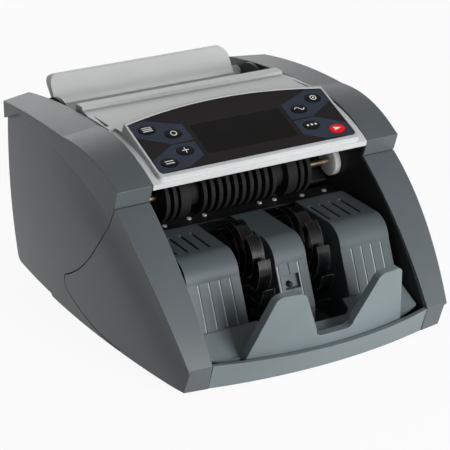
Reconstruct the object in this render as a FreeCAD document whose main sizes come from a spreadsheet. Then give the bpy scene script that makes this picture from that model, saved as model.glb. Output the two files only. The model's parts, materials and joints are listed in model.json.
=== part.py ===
import FreeCAD, Part
import math
import os
import re
from collections import namedtuple
from types import SimpleNamespace

from FreeCAD import Placement, Rotation, Vector

# Banknote counting machine in millimetres, standing on its feet at z = 0.
# The front faces -Y, the keys face up, and X runs across the throat between the two cheeks.

SIZES = {
    # Overall frame
    "half_depth": 167.5, "foot_height": 4, "foot_radius": 9, "throat_half": 100, "wall": 3, "seam": 1.0,
    # Side outline of a cheek, as y and z of its corners at the inner edge
    "chin_low_y": -134.6, "chin_y": -141.7, "chin_z": 26.4, "chin_low_sweep": 6.8, "chin_sweep": 2.5,
    "strip_mid_y": -99.3, "strip_mid_z": 80.9, "step_low_y": -46.8, "step_low_z": 126.3,
    "step_y": -52.1, "step_z": 141.3, "brow_y": -18, "brow_z": 158.2, "crest_y": 35, "crest_z": 164.2,
    "nape_y": 105, "nape_z": 162.6, "tail_z": 154.8, "crown_drop": 3.9, "brow_drop": 2.5,
    "nape_drop": 2.5, "tail_drop": 1.2,
    "rim_band": 16, "strip_lip": 3, "back_wall_y": 159, "back_low_z": 14, "back_low_y": 152.5,
    "heel_z": 6.5, "heel_y": 80, "heel_run": 2.5, "heel_round": 2,
    # Lower edge of the band under the rim
    "band_rear_y": 120, "band_rear_z": 155, "band_end_y": 85, "band_end_z": 157.3, "band_mid_y": 15.2,
    "band_mid_z": 139.4, "band_low_y": -11.5, "band_low_z": 130, "band_front_y": -35.3, "band_front_z": 118.7,
    "band_fade_y": 50, "band_fade": 85,
    # Plan outline of the rim and the pillow of the side panel
    "rim_half": 133.5, "rim_mid_y": 20, "rim_front_half": 119.8, "rim_rear_half": 129.8, "rim_rear_y": 154.4,
    "rim_strip_half": 127.2, "rim_strip_y": -100, "rim_step_half": 130.4, "cavity_half": 127.5,
    "side_end_half": 119.4, "side_bulge": 9, "side_mid_y": 14, "side_reach": 146, "side_flare": 7,
    "flare_z": 100, "recess_depth": 3.2, "recess_width": 20, "outer_reach": 140,
    # Part line between the front and the rear shell
    "split_top_y": -46.8, "split_top_z": 126.2, "split_mid_y": -14, "split_mid_z": 77, "cusp_top_y": 39,
    "cusp_top_z": 40, "cusp_y": 42.4, "cusp_z": 33, "cusp_low_y": 37.4, "cusp_low_z": 24.8,
    "split_low_y": 9.7, "split_low_z": 13.4, "split_end_y": -44, "split_end_z": 6.2,
    # Base tray with its bowed front lip
    "tray_thickness": 3, "tray_half": 99.4, "wing_end": 117.2, "wing_middle": 125, "tray_rear_y": 156.5,
    "wing_front_y": -118, "wing_rear_y": 148, "foot_x": 90.4, "foot_front_y": -116, "foot_rear_y": 139,
    "lip_top_z": 26.2, "lip_mid_y": -159.1, "lip_end_y": -141.8, "lip_low_mid_y": -145.8,
    "lip_low_end_y": -134.2, "lip_wall": 5, "lip_back_y": -124,
    # Stacker plate with its two fins, leaning forward
    "fin_foot_z": 24, "fin_foot_y": -152.4, "fin_top_z": 81, "fin_top_y": -170.07, "fin_thickness": 8,
    "fin_foot_half": 72.2, "fin_top_half": 56, "fin_inner_half": 34.7, "notch_half": 11, "notch_z": 36.2,
    "fin_round": 6, "bow": 17.3,
    # Pocket floor
    "pocket_half": 98, "pocket_rear_y": -108.2, "pocket_rear_z": 36, "pocket_bend_y": -133,
    "pocket_bend_z": 24, "pocket_front_y": -146, "pocket_sheet": 2.5, "pocket_cut_y": -122,
    "pocket_cut_half": 40, "pocket_cut_round": 8,
    # Stacker blocks
    "block_rear_y": -26, "block_rear_z": 90, "block_top_y": -72, "block_top_z": 88.5, "block_nose_y": -87.5,
    "block_nose_z": 83, "block_face_y": -93.5, "block_face_z": 71, "block_foot_y": -107.6, "block_foot_z": 36,
    "block_skin": 2.5, "centre_half": 14.5, "block_inner": 47.5, "block_outer": 94.5, "groove_width": 0.9,
    "groove_depth": 1.0, "groove_pitch": 9.5, "groove_shift": 1, "centre_groove_shift": -3, "slit_width": 2.4,
    "slit_pitch": 10, "slit_shift": -4, "slit_front_y": -70, "slit_length": 30,
    "sensor_x": -2, "sensor_width": 14, "sensor_low_z": 51.5, "sensor_height": 11, "sensor_depth": 4.5,
    "sensor_back": 3.5, "sensor_radius": 2.2, "eye_x": -3.5, "eye_z": 54.5,
    # Side frames, cross bars and shafts
    "frame_sheet": 2, "frame_clear": 0.6, "bar_radius": 4, "shaft_radius": 3, "bush_radius": 7,
    "bush_flange": 9, "bush_flange_width": 1.6, "run_clear": 0.05, "shaft_stub": 4, "shaft_reach": 112,
    "count_y": -2.6, "count_z": 109.2, "pickup_y": 92, "pickup_z": 113.6, "stack_y": -60, "stack_z": 54,
    # Rollers
    "roller_mid": -3, "ring_radius": 20, "drum_radius": 12, "drum_half": 69, "ring_width": 3.4,
    "ring_pitch": 7.27, "wide_ring_x": 50.6, "wide_ring_width": 9.2, "side_ring_x": 59.8, "end_ring_x": 66.8,
    "tyre_radius": 14, "tyre_width": 16, "tyre_inner_x": 24, "tyre_outer_x": 60, "end_bush_x": 94.5,
    "end_bush_width": 5.5,
    "end_bush_radius": 12.5, "wheel_radius": 45.5, "wheel_hub": 10, "wheel_width": 11, "wheel_x": 27.5,
    "blade_count": 12, "blade_sheet": 1.2, "blade_lag": 95, "blade_mid_lag": 45, "blade_root_lag": 8,
    # Motors, pulleys and belts
    "pulley_start": 104, "pulley_width": 7, "count_pulley": 10, "pickup_pulley": 12, "motor_pulley": 9,
    "stack_pulley": 12, "small_pulley": 8, "belt_sheet": 1.5, "belt_clear": 0.3, "belt_width": 5,
    "motor_y": 110, "motor_z": 46, "motor_radius": 28, "motor_length": 80, "motor_bore_depth": 14,
    "small_motor_y": 6, "small_motor_z": 40, "small_motor_radius": 18, "small_motor_length": 52,
    "motor_shaft": 2.5, "motor_hole": 8,
    # Console, with its top plane tilted about the front edge of the overlay
    "panel_y": -49.2, "panel_z": 147.8, "panel_tilt": 23.46, "plateau_half": 93, "plateau_front": 3.6,
    "plateau_rear": 61.5, "plateau_arch": 11, "plateau_depth": 17, "plateau_skin": 3, "plateau_rim": 0.3,
    "overlay_half": 91.2, "overlay_rear": 59.5, "overlay_sheet": 0.6, "overlay_corner": 4, "window_half": 42,
    "window_front": 11.7, "window_rear": 47.3, "window_sheet": 1.2, "flange_half": 99.3, "flange_low_y": -51,
    "flange_low_z": 136.9, "flange_sheet": 4, "flange_rear_y": 3, "flange_rear_z": 161.2, "flange_mid_y": -26,
    "flange_mid_z": 154.2, "cover_clear": 0.3, "ear_half": 93.8, "ear_rear_y": 19.7, "ear_rear_z": 163.4,
    "key_outer_x": 78, "key_inner_x": 59, "key_outer_rear": 50, "key_inner_rear": 40.5, "key_inner_front": 20,
    "key_outer_front": 10.5, "key_long": 7.3, "key_short": 4.9, "key_gap": 0.4, "key_proud": 0.5,
    "key_flange": 1, "run_gap": 0.3, "overlay_slack": 0.15, "board_sheet": 1.6, "board_drop": 7,
    "board_half": 84, "display_half": 40,
    # Top cover, hopper plate, hopper floor and note guides
    "cover_half": 99.3, "cover_z": 165, "cover_sheet": 2.5, "cover_front_y": 3.6, "ridge_front_y": 72,
    "ridge_rear_y": 84.4, "ridge_z": 167.8, "ridge_slant": 1, "cover_apron_z": 146, "cover_front_half": 93.3,
    "cover_side_y": 20.3, "ridge_half": 96.5, "ridge_taper_y": 56, "wedge_rear_x": 94.5, "wedge_rear_y": 57,
    "wedge_outer_x": 98.3, "wedge_inner_x": 95, "wedge_front_y": 28,
    "hopper_half": 88, "hopper_foot_y": 140, "hopper_foot_z": 148.8, "hopper_mid_y": 145.6,
    "hopper_mid_z": 159, "hopper_top_y": 154, "hopper_top_z": 170.2, "hopper_crown": 1, "hopper_sag": 2,
    "hopper_sheet": 6.5, "hopper_round": 9, "hopper_low_z": 140,
    "chute_front_y": 6, "chute_front_z": 90.2, "chute_rear_y": 151, "chute_slope": 0.425, "chute_sheet": 2,
    "chute_half": 99, "chute_slot": 16, "guide_x": 93.5, "guide_sheet": 3, "guide_front_y": 104,
    "guide_rear_y": 137, "guide_top_z": 162, "guide_lift": 0.7, "guide_travel": 24, "foot_slot": 5,
    "foot_tab": 3.6, "foot_tab_drop": 5, "slot_y": 120,
    # Guide plate under the counting roller
    "plate_front_y": -16, "plate_rear_y": 3, "plate_top_z": 85, "plate_sheet": 1.5, "dot_radius": 2,
    "dot_height": 1.0, "dot_inner_x": 26.5, "dot_middle_x": 41, "dot_side_x": 65.8, "dot_outer_x": 88,
    "dot_y": -4, "dot_front_y": -8,
    # Separator over the chute
    "separator_y": 52, "separator_z": 124.2, "separator_radius": 11, "separator_width": 18, "separator_x": 24,
    # Back panel, mains inlet and switch
    "back_y": 157, "back_sheet": 2.5, "back_half": 99.5, "rear_low_z": 7.3, "back_top_z": 149,
    "inlet_x": -60, "inlet_z": 32, "inlet_half_width": 15, "inlet_half_height": 11.5, "inlet_depth": 20,
    "inlet_flange": 2.5, "socket_half_width": 12.2, "socket_half_height": 8.3, "socket_depth": 16,
    "pin_width": 2, "pin_height": 4, "pin_length": 12, "pin_spread": 7, "pin_row": 3.5,
    "rocker_x": -22, "rocker_half": 6, "rocker_radius": 10, "rocker_axis": 5,
    "rocker_swing": 8, "rocker_gap": 0.5, "rocker_taper": 1.2, "rocker_proud": 1, "rocker_pin": 1.5,
    "rocker_lug": 4, "lug_sheet": 2, "vent_width": 3, "vent_height": 36, "vent_pitch": 16, "vent_low_z": 70,
    # Boards
    "main_board_x": -94, "main_board_length": 96, "main_board_y": 30, "main_board_depth": 62,
    "main_board_z": 14, "power_board_y": 99, "power_board_depth": 48, "leg_inset": 6, "leg_radius": 3,
    "chip_height": 4, "chip_depth": 15, "chip_x": 9, "chip_y": 9, "chip_length": 15, "driver_x": 36,
    "driver_y": 27, "driver_length": 24, "socket_x": 78, "socket_y": 12, "socket_length": 9, "socket_run": 36,
    "coil_x": 12, "coil_y": 6, "coil_length": 36, "coil_depth": 24, "coil_height": 26, "can_x": 66,
    "can_y": 15, "can_radius": 6, "can_height": 23,
    # Fasteners under the base
    "screw_head": 4, "screw_height": 2,
}

doc = FreeCAD.newDocument("note_counter")
sheet = doc.addObject("Spreadsheet::Sheet", "sizes")
for row, (alias, number) in enumerate(SIZES.items(), start=1):
    sheet.set(f"A{row}", alias)
    sheet.set(f"B{row}", str(number))
    sheet.setAlias(f"B{row}", alias)
doc.recompute()
size = SimpleNamespace(**{alias: float(sheet.get(alias)) for alias in SIZES})

NODES = {}
TURN = {"x": Rotation(Vector(0, 1, 0), 90), "y": Rotation(Vector(1, 0, 0), -90), "z": Rotation()}
Bend = namedtuple("Bend", "via end")


# Small builders: every size is a formula of the sheet's aliases
def bound(formula):
    return re.sub(r"[a-z_]+[a-z0-9_]*", lambda m: f"sizes.{m[0]}" if m[0] in SIZES else m[0], str(formula))


def bind(obj, **formulas):
    for name, formula in formulas.items():
        obj.setExpression(name, bound(formula))
    return obj


def place(obj, x="0", y="0", z="0"):
    for axis, formula in zip("xyz", (x, y, z)):
        obj.setExpression(f"Placement.Base.{axis}", bound(formula))
    return obj


def node(name, obj):
    obj.Label = name
    NODES[name] = obj
    return obj


def box(name, x, y, z):
    """Block given as (start, length) along each axis."""
    obj = doc.addObject("Part::Box", name)
    bind(obj, Length=x[1], Width=y[1], Height=z[1])
    return place(obj, x[0], y[0], z[0])


def rod(name, x, y, z, radius, length, axis="x"):
    obj = doc.addObject("Part::Cylinder", name)
    obj.Placement = Placement(Vector(), TURN[axis])
    bind(obj, Radius=radius, Height=length)
    return place(obj, x, y, z)


def cut(name, base, *tools):
    obj = doc.addObject("Part::Cut", name)
    obj.Base = base
    obj.Tool = tools[0] if len(tools) == 1 else fuse(name + "_tools", *tools)
    return obj


def fuse(name, *parts):
    obj = doc.addObject("Part::MultiFuse", name)
    obj.Shapes = list(parts)
    return obj


def common(name, *parts):
    obj = doc.addObject("Part::MultiCommon", name)
    obj.Shapes = list(parts)
    return obj


def group(name, parts):
    obj = doc.addObject("Part::Compound", name)
    obj.Links = list(parts)
    return obj


def mirrored(name, source):
    obj = doc.addObject("Part::Mirroring", name)
    obj.Source = source
    obj.Normal = Vector(1, 0, 0)
    return obj


def edges(outline):
    """Lines and three-point arcs around a closed outline of points and Bends."""
    found = []
    here = outline[0]
    for step in outline[1:] + [outline[0]]:
        bent = isinstance(step, Bend)
        end = step.end if bent else step
        if end == here:
            continue
        if bent:
            found.append(Part.Arc(Vector(*here, 0), Vector(*step.via, 0), Vector(*end, 0)))
        else:
            found.append(Part.LineSegment(Vector(*here, 0), Vector(*end, 0)))
        here = end
    return found


def sketch(body, name, plane, outlines, offset):
    drawing = body.newObject("Sketcher::SketchObject", name)
    support = [feature for feature in body.Origin.OriginFeatures if feature.Role == plane + "_Plane"]
    drawing.AttachmentSupport = [(support[0], "")]
    drawing.MapMode = "FlatFace"
    drawing.setExpression("AttachmentOffset.Base.z", bound(offset))
    for outline in outlines:
        drawing.addGeometry(edges(outline) if isinstance(outline, list) else [outline], False)
    return drawing


def pad(name, plane, outlines, start, length):
    """Sketched outline pushed along the plane's normal: +X for YZ, +Z for XY and -Y for XZ."""
    body = doc.addObject("PartDesign::Body", name)
    feature = body.newObject("PartDesign::Pad", name + "_pad")
    feature.Profile = sketch(body, name + "_outline", plane, outlines, start)
    bind(feature, Length=length)
    return body


def loft(name, plane, first, last):
    """Ruled solid between two outlines, each given with its offset from the plane."""
    body = doc.addObject("PartDesign::Body", name)
    feature = body.newObject("PartDesign::AdditiveLoft", name + "_loft")
    feature.Profile = sketch(body, name + "_first", plane, [first[0]], first[1])
    feature.Sections = [sketch(body, name + "_last", plane, [last[0]], last[1])]
    feature.Ruled = True
    return body


def inset(outline, distance):
    """The same outline with every corner and bend moved inwards by a distance."""
    points = []
    for step in outline:
        points += [step.via, step.end] if isinstance(step, Bend) else [step]
    closed = points[-1] == points[0]
    ring = points[:-1] if closed else points
    area = sum(a[0] * b[1] - b[0] * a[1] for a, b in zip(ring, ring[1:] + ring[:1]))
    turn = math.copysign(1, area)
    moved = []
    for before, here, after in zip(ring[-1:] + ring[:-1], ring, ring[1:] + ring[:1]):
        normals = []
        for start, end in ((before, here), (here, after)):
            run = math.dist(start, end)
            normals.append((turn * (start[1] - end[1]) / run, turn * (end[0] - start[0]) / run))
        sway = (normals[0][0] + normals[1][0], normals[0][1] + normals[1][1])
        reach = 2 * distance / (sway[0] ** 2 + sway[1] ** 2)
        moved.append((here[0] + reach * sway[0], here[1] + reach * sway[1]))
    if closed:
        moved.append(moved[0])
    queue = iter(moved)
    return [Bend(next(queue), next(queue)) if isinstance(step, Bend) else next(queue) for step in outline]


def with_mirror(half):
    """A half outline, drawn from the centre line outwards, joined to its mirror image."""
    ends = [step.end if isinstance(step, Bend) else step for step in half]
    other = [(-ends[-1][0], ends[-1][1])]
    for step, (x, z) in zip(reversed(half), reversed(ends[:-1])):
        other.append(Bend((-step.via[0], step.via[1]), (-x, z)) if isinstance(step, Bend) else (-x, z))
    return other + half


def rounded_box(low, high, radius):
    """Outline of a rectangle with round corners."""
    middle = radius * (1 - math.sqrt(0.5))
    (x0, y0), (x1, y1) = low, high
    return [
        (x0 + radius, y0), (x1 - radius, y0), Bend((x1 - middle, y0 + middle), (x1, y0 + radius)),
        (x1, y1 - radius), Bend((x1 - middle, y1 - middle), (x1 - radius, y1)),
        (x0 + radius, y1), Bend((x0 + middle, y1 - middle), (x0, y1 - radius)),
        (x0, y0 + radius), Bend((x0 + middle, y0 + middle), (x0 + radius, y0)),
    ]


# Cheeks: a crowned rim and sloped strip around a pillowed side panel, split along an S-shaped line
def cheek_outline(outward):
    """Side outline of a cheek, from its inner edge (0) to its outer edge (1)."""
    s = size
    drop = s.crown_drop * outward
    return [
        (s.chin_low_y + s.chin_low_sweep * outward, s.foot_height),
        (s.chin_y + s.chin_sweep * outward, s.chin_z),
        Bend((s.strip_mid_y, s.strip_mid_z), (s.step_low_y, s.step_low_z)),
        (s.step_y, s.step_z),
        Bend((s.brow_y, s.brow_z - s.brow_drop * outward), (s.crest_y, s.crest_z - drop)),
        Bend((s.nape_y, s.nape_z - s.nape_drop * outward), (s.half_depth, s.tail_z - s.tail_drop * outward)),
        (s.half_depth, s.tail_z - s.rim_band),
        (s.back_wall_y, s.tail_z - s.rim_band),
        (s.back_wall_y - s.seam, s.back_low_z),
        Bend((s.back_wall_y - s.heel_round, s.heel_z + s.heel_round), (s.back_low_y, s.heel_z)),
        (s.heel_y, s.heel_z),
        (s.heel_y - s.heel_run, s.foot_height),
    ]


def cheek_room(margin):
    """Room inside a cheek, kept a margin away from its outline and open below."""
    s = size
    floor = s.foot_height - 3 * s.wall
    outline = cheek_outline(1)
    nape = Bend((s.nape_y, s.nape_z - s.crown_drop), (s.back_wall_y, s.tail_z - s.crown_drop))
    return inset([(outline[0][0], floor)] + outline[1:5] + [nape, (s.back_wall_y, floor)], margin)


def rim_plan():
    """Plan of the rim: barrel arcs along the strip and the crown, then a slanted rear corner."""
    s = size
    return [
        (s.throat_half, s.chin_y),
        (s.rim_front_half, s.chin_y),
        Bend((s.rim_strip_half, s.rim_strip_y), (s.rim_step_half, s.step_low_y)),
        Bend((s.rim_half, s.rim_mid_y), (s.rim_rear_half, s.rim_rear_y)),
        (s.throat_half, s.half_depth),
    ]


def panel_plan():
    """Plan of all that lies in front of the slanted rear corner."""
    s = size
    slope = (s.half_depth - s.rim_rear_y) / (s.rim_rear_half - s.throat_half)
    ahead = -s.half_depth - s.wall
    return [
        (0, ahead), (s.outer_reach, ahead),
        (s.outer_reach, s.half_depth + (s.throat_half - s.outer_reach) * slope),
        (0, s.half_depth + s.throat_half * slope),
    ]


def band_outline():
    """Side outline of the band under the rim: tall at the step and at the tail, low in between."""
    s = size
    above = s.crest_z + s.wall
    return [
        (s.step_low_y, s.step_low_z),
        (s.step_y, s.step_z),
        (s.step_y, above),
        (s.half_depth, above),
        (s.half_depth, s.tail_z - s.rim_band),
        (s.back_wall_y, s.tail_z - s.rim_band),
        (s.band_rear_y, s.band_rear_z),
        (s.band_end_y, s.band_end_z),
        (s.band_mid_y, s.band_mid_z),
        Bend((s.band_low_y, s.band_low_z), (s.band_front_y, s.band_front_z)),
    ]


def lip_outline():
    """Side outline of the sloped strip's overhanging edge."""
    s = size
    chord = math.hypot(s.step_low_y - s.chin_y, s.step_low_z - s.chin_z)
    back = s.strip_lip * (s.step_low_z - s.chin_z) / chord
    down = s.strip_lip * (s.step_low_y - s.chin_y) / chord
    return [
        (s.chin_y, s.chin_z),
        Bend((s.strip_mid_y, s.strip_mid_z), (s.step_low_y, s.step_low_z)),
        (s.step_low_y + back, s.step_low_z - down),
        Bend((s.strip_mid_y + back, s.strip_mid_z - down), (s.chin_y + back, s.chin_z - down)),
    ]


def front_region():
    """Everything in front of the S-shaped part line, seen from the side."""
    s = size
    ahead = -s.half_depth - s.wall
    return [
        (ahead, s.split_top_z),
        (s.split_top_y, s.split_top_z),
        Bend((s.split_mid_y, s.split_mid_z), (s.cusp_top_y, s.cusp_top_z)),
        Bend((s.cusp_y, s.cusp_z), (s.cusp_low_y, s.cusp_low_z)),
        Bend((s.split_low_y, s.split_low_z), (s.split_end_y, s.split_end_z)),
        (s.split_end_y, -s.foot_height),
        (ahead, -s.foot_height),
    ]


def side_half_width(y, z):
    """Half-width of the machine at a point of the side panel: barrelled both ways, drawn in along the rim."""
    s = size
    barrel = s.side_bulge * (1 - ((y - s.side_mid_y) / s.side_reach) ** 2)
    flare = s.side_flare * (1 - (z / s.flare_z - 1) ** 2)
    run = (s.step_low_y - s.chin_y, s.step_low_z - s.chin_z)
    behind = ((y - s.chin_y) * run[1] - (z - s.chin_z) * run[0]) / math.hypot(*run)
    strip_share = math.exp(-(max(behind, 0) / s.recess_width) ** 2)
    ahead = (s.band_end_y - y) / (s.band_end_y - s.band_front_y)
    below = s.band_end_z + ahead * (s.band_front_z - s.band_end_z) - z
    fade = min(max((s.band_fade_y - y) / s.band_fade, 0), 1)
    rim_share = math.exp(-(max(below, 0) / s.recess_width) ** 2) * fade
    recess = s.recess_depth * (1 - (1 - strip_share) * (1 - rim_share))
    return s.side_end_half + barrel + flare - recess


def side_skin():
    """Solid inside the pillowed side surface, which no pad or loft gives."""
    columns = 28
    rows = 18
    grid = []
    for column in range(columns):
        y = -size.half_depth + 2 * size.half_depth * column / (columns - 1)
        heights = [(size.crest_z + size.wall) * row / (rows - 1) for row in range(rows)]
        grid.append([Vector(side_half_width(y, z), y, z) for z in heights])
    surface = Part.BSplineSurface()
    surface.interpolate(grid)
    return surface.toShape().extrude(Vector(-size.throat_half / 2, 0, 0))


def make_cheeks():
    depth = "outer_reach - throat_half"
    blank = loft("cheek_blank", "YZ", (cheek_outline(0), "throat_half"), (cheek_outline(1), "outer_reach"))
    plan = pad("cheek_plan", "XY", [rim_plan()], "0", "crest_z + wall")
    whole = common("cheek_whole", blank, plan)
    skin = doc.addObject("Part::Feature", "cheek_skin")
    skin.Shape = side_skin()
    inner_skin = doc.addObject("Part::Feature", "cheek_inner_skin")
    inner_skin.Shape = skin.Shape
    place(inner_skin, x="-wall")
    band_region = pad("band_region", "YZ", [band_outline()], "throat_half", depth)
    corner = pad("panel_plan", "XY", [panel_plan()], "0", "crest_z + wall")
    side = common("cheek_side", blank, skin, corner)
    upper = pad("band_core", "YZ", [inset(band_outline(), size.seam)], "throat_half - wall",
                "2 * wall + " + depth)
    panel = cut("cheek_panel", side, upper)
    band = common("cheek_band", whole, band_region)
    lip = common("cheek_lip", whole, pad("lip_region", "YZ", [lip_outline()], "throat_half", depth))
    room = pad("cavity_region", "YZ", [cheek_room(size.wall)], "throat_half - wall",
               "cavity_half - throat_half + wall")
    inner_corner = pad("cavity_plan", "XY", [inset(panel_plan(), size.wall)], "-crest_z", "2 * crest_z")
    cavity = common("cheek_cavity", room, inner_skin, inner_corner)
    shell = cut("cheek_shell", fuse("cheek_solid", panel, band, lip), cavity)
    front = pad("front_part_region", "YZ", [front_region()], "throat_half - wall", "2 * wall + " + depth)
    grown = pad("front_part_gap", "YZ", [inset(front_region(), -size.seam)], "throat_half - wall",
                "2 * wall + " + depth)
    node("right_front_shell", common("right_front", shell, front))
    node("right_rear_shell", cut("right_rear", shell, grown))
    node("left_front_shell", mirrored("left_front", NODES["right_front_shell"]))
    node("left_rear_shell", mirrored("left_rear", NODES["right_rear_shell"]))


# Base: a floor plate with a bowed, undercut front lip, standing on four feet
def lip_plan(middle, end, back):
    """Plan of the lip, or of the room behind it, which runs out past both ends."""
    half = size.tray_half + (size.wall if back else 0)
    return [
        (-half, size.lip_back_y), (-half, end + back), Bend((0, middle + back), (half, end + back)),
        (half, size.lip_back_y),
    ]


def make_base():
    s = size
    lip = loft("lip_outer", "XY", (lip_plan(s.lip_low_mid_y, s.lip_low_end_y, 0), "foot_height"),
               (lip_plan(s.lip_mid_y, s.lip_end_y, 0), "lip_top_z"))
    hollow = loft("lip_inner", "XY", (lip_plan(s.lip_low_mid_y, s.lip_low_end_y, s.lip_wall), "foot_height"),
                  (lip_plan(s.lip_mid_y, s.lip_end_y, s.lip_wall), "lip_top_z"))
    floor = box("tray_floor", ("-tray_half", "2 * tray_half"),
                ("lip_low_end_y", "tray_rear_y - lip_low_end_y"), ("foot_height", "tray_thickness"))
    barrel = [
        (-s.wing_end, s.wing_front_y), (s.wing_end, s.wing_front_y),
        Bend((s.wing_middle, s.side_mid_y), (s.wing_end, s.wing_rear_y)), (-s.wing_end, s.wing_rear_y),
        Bend((-s.wing_middle, s.side_mid_y), (-s.wing_end, s.wing_front_y)),
    ]
    wings = pad("tray_wings", "XY", [barrel], "foot_height", "tray_thickness")
    node("base_tray", fuse("tray", cut("lip", lip, hollow), floor, wings))
    feet = []
    screws = []
    for side, x in (("left", "-foot_x"), ("right", "foot_x")):
        for end, y, inward in (("front", "foot_front_y", "+"), ("rear", "foot_rear_y", "-")):
            feet.append(rod(f"{side}_{end}_foot", x, y, "0", "foot_radius", "foot_height", axis="z"))
            screws.append(rod(f"{side}_{end}_screw", x, f"{y} {inward} 3 * foot_radius",
                              "foot_height - screw_height", "screw_head", "screw_height", axis="z"))
    node("rubber_feet", group("feet", feet))
    node("base_screws", group("screws", screws))


# Stacker: fins at the front, a sloped pocket floor, and three ribbed blocks between the wheels
def bowed_strip(front, thickness):
    half = size.tray_half - size.wall
    back = front + thickness
    return [
        (-half, front + size.bow), Bend((0, front), (half, front + size.bow)), (half, back + size.bow),
        Bend((0, back), (-half, back + size.bow)),
    ]


def fin_outline():
    """Front outline of the stacker plate: two leaning fins joined by a low wall."""
    s = size
    r = s.fin_round
    inner = s.fin_inner_half
    outer = s.fin_top_half
    top = s.fin_top_z
    return with_mirror([
        (s.notch_half, s.notch_z),
        Bend((s.notch_half + r * 0.75, s.notch_z + r * 0.3), (s.notch_half + r, s.notch_z + r)),
        (inner - r * 0.5, top - r),
        Bend((inner, top - r * 0.25), (inner + r, top)),
        (outer - r, top),
        Bend((outer - r * 0.15, top - r * 0.25), (outer + r * 0.3, top - r)),
        (s.fin_foot_half, s.fin_foot_z),
    ])


def make_fins():
    s = size
    slab = loft("fin_slab", "XY", (bowed_strip(s.fin_foot_y, s.fin_thickness), "fin_foot_z"),
                (bowed_strip(s.fin_top_y, s.fin_thickness), "fin_top_z"))
    front = pad("fin_front", "XZ", [fin_outline()], "fin_foot_z", "2 * half_depth")
    node("stacker_plate", common("fins", slab, front))


def block_outline():
    s = size
    return [
        (s.block_rear_y, s.foot_height + s.tray_thickness), (s.block_rear_y, s.block_rear_z),
        (s.block_top_y, s.block_top_z),
        Bend((s.block_nose_y, s.block_nose_z), (s.block_face_y, s.block_face_z)),
        (s.block_foot_y, s.block_foot_z), (s.block_foot_y, s.foot_height + s.tray_thickness),
    ]


def face_strip(low, high, front, back):
    """Strip along the leaning front face of a block, given by its heights and its depths behind the face."""
    s = size
    lean = (s.block_face_y - s.block_foot_y) / (s.block_face_z - s.block_foot_z)
    low_y = s.block_foot_y + (low - s.block_foot_z) * lean
    high_y = s.block_foot_y + (high - s.block_foot_z) * lean
    return [(low_y + front, low), (high_y + front, high), (high_y + back, high), (low_y + back, low)]


def groove_outline():
    """Shallow groove down the leaning front face of a block."""
    s = size
    lean = (s.block_foot_y - s.block_face_y) / (s.block_foot_z - s.block_face_z)
    top = (s.block_face_y, s.block_face_z)
    foot = (s.block_foot_y, s.block_foot_z)
    return [
        (top[0] - s.wall, top[1]), (top[0] + s.groove_depth, top[1]),
        (foot[0] + s.groove_depth, foot[1]), (foot[0] - s.wall, foot[1] + lean),
    ]


def block(name, start, width, grooves, shift, slits):
    """Hollow stacker block, open behind and below, grooved in front and slit on top."""
    solid = pad(name + "_solid", "YZ", [block_outline()], start, width)
    room = inset(block_outline(), size.block_skin)
    open_room = [(size.block_rear_y + size.wall, 0), (size.block_rear_y + size.wall, room[1][1])] + room[2:5]
    open_room.append((room[5][0], 0))
    hollow = pad(name + "_room", "YZ", [open_room], f"{start} + block_skin", f"{width} - 2 * block_skin")
    tools = [hollow, rod(name + "_bore", start, "stack_y", "stack_z", "bush_radius", width)]
    for index in range(grooves):
        at = (f"{start} + ({width}) / 2 + ({index} - {(grooves - 1) / 2}) * groove_pitch + {shift}"
              " - groove_width / 2")
        tools.append(pad(f"{name}_groove_{index}", "YZ", [groove_outline()], at, "groove_width"))
    for index in range(slits):
        at = (f"{start} + ({width}) / 2 + ({index} - {(slits - 1) / 2}) * slit_pitch + slit_shift"
              " - slit_width / 2")
        tools.append(box(f"{name}_slit_{index}", (at, "slit_width"), ("slit_front_y", "slit_length"),
                         ("block_top_z - 2 * block_skin", "4 * block_skin")))
    return cut(name, solid, *tools)


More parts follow.
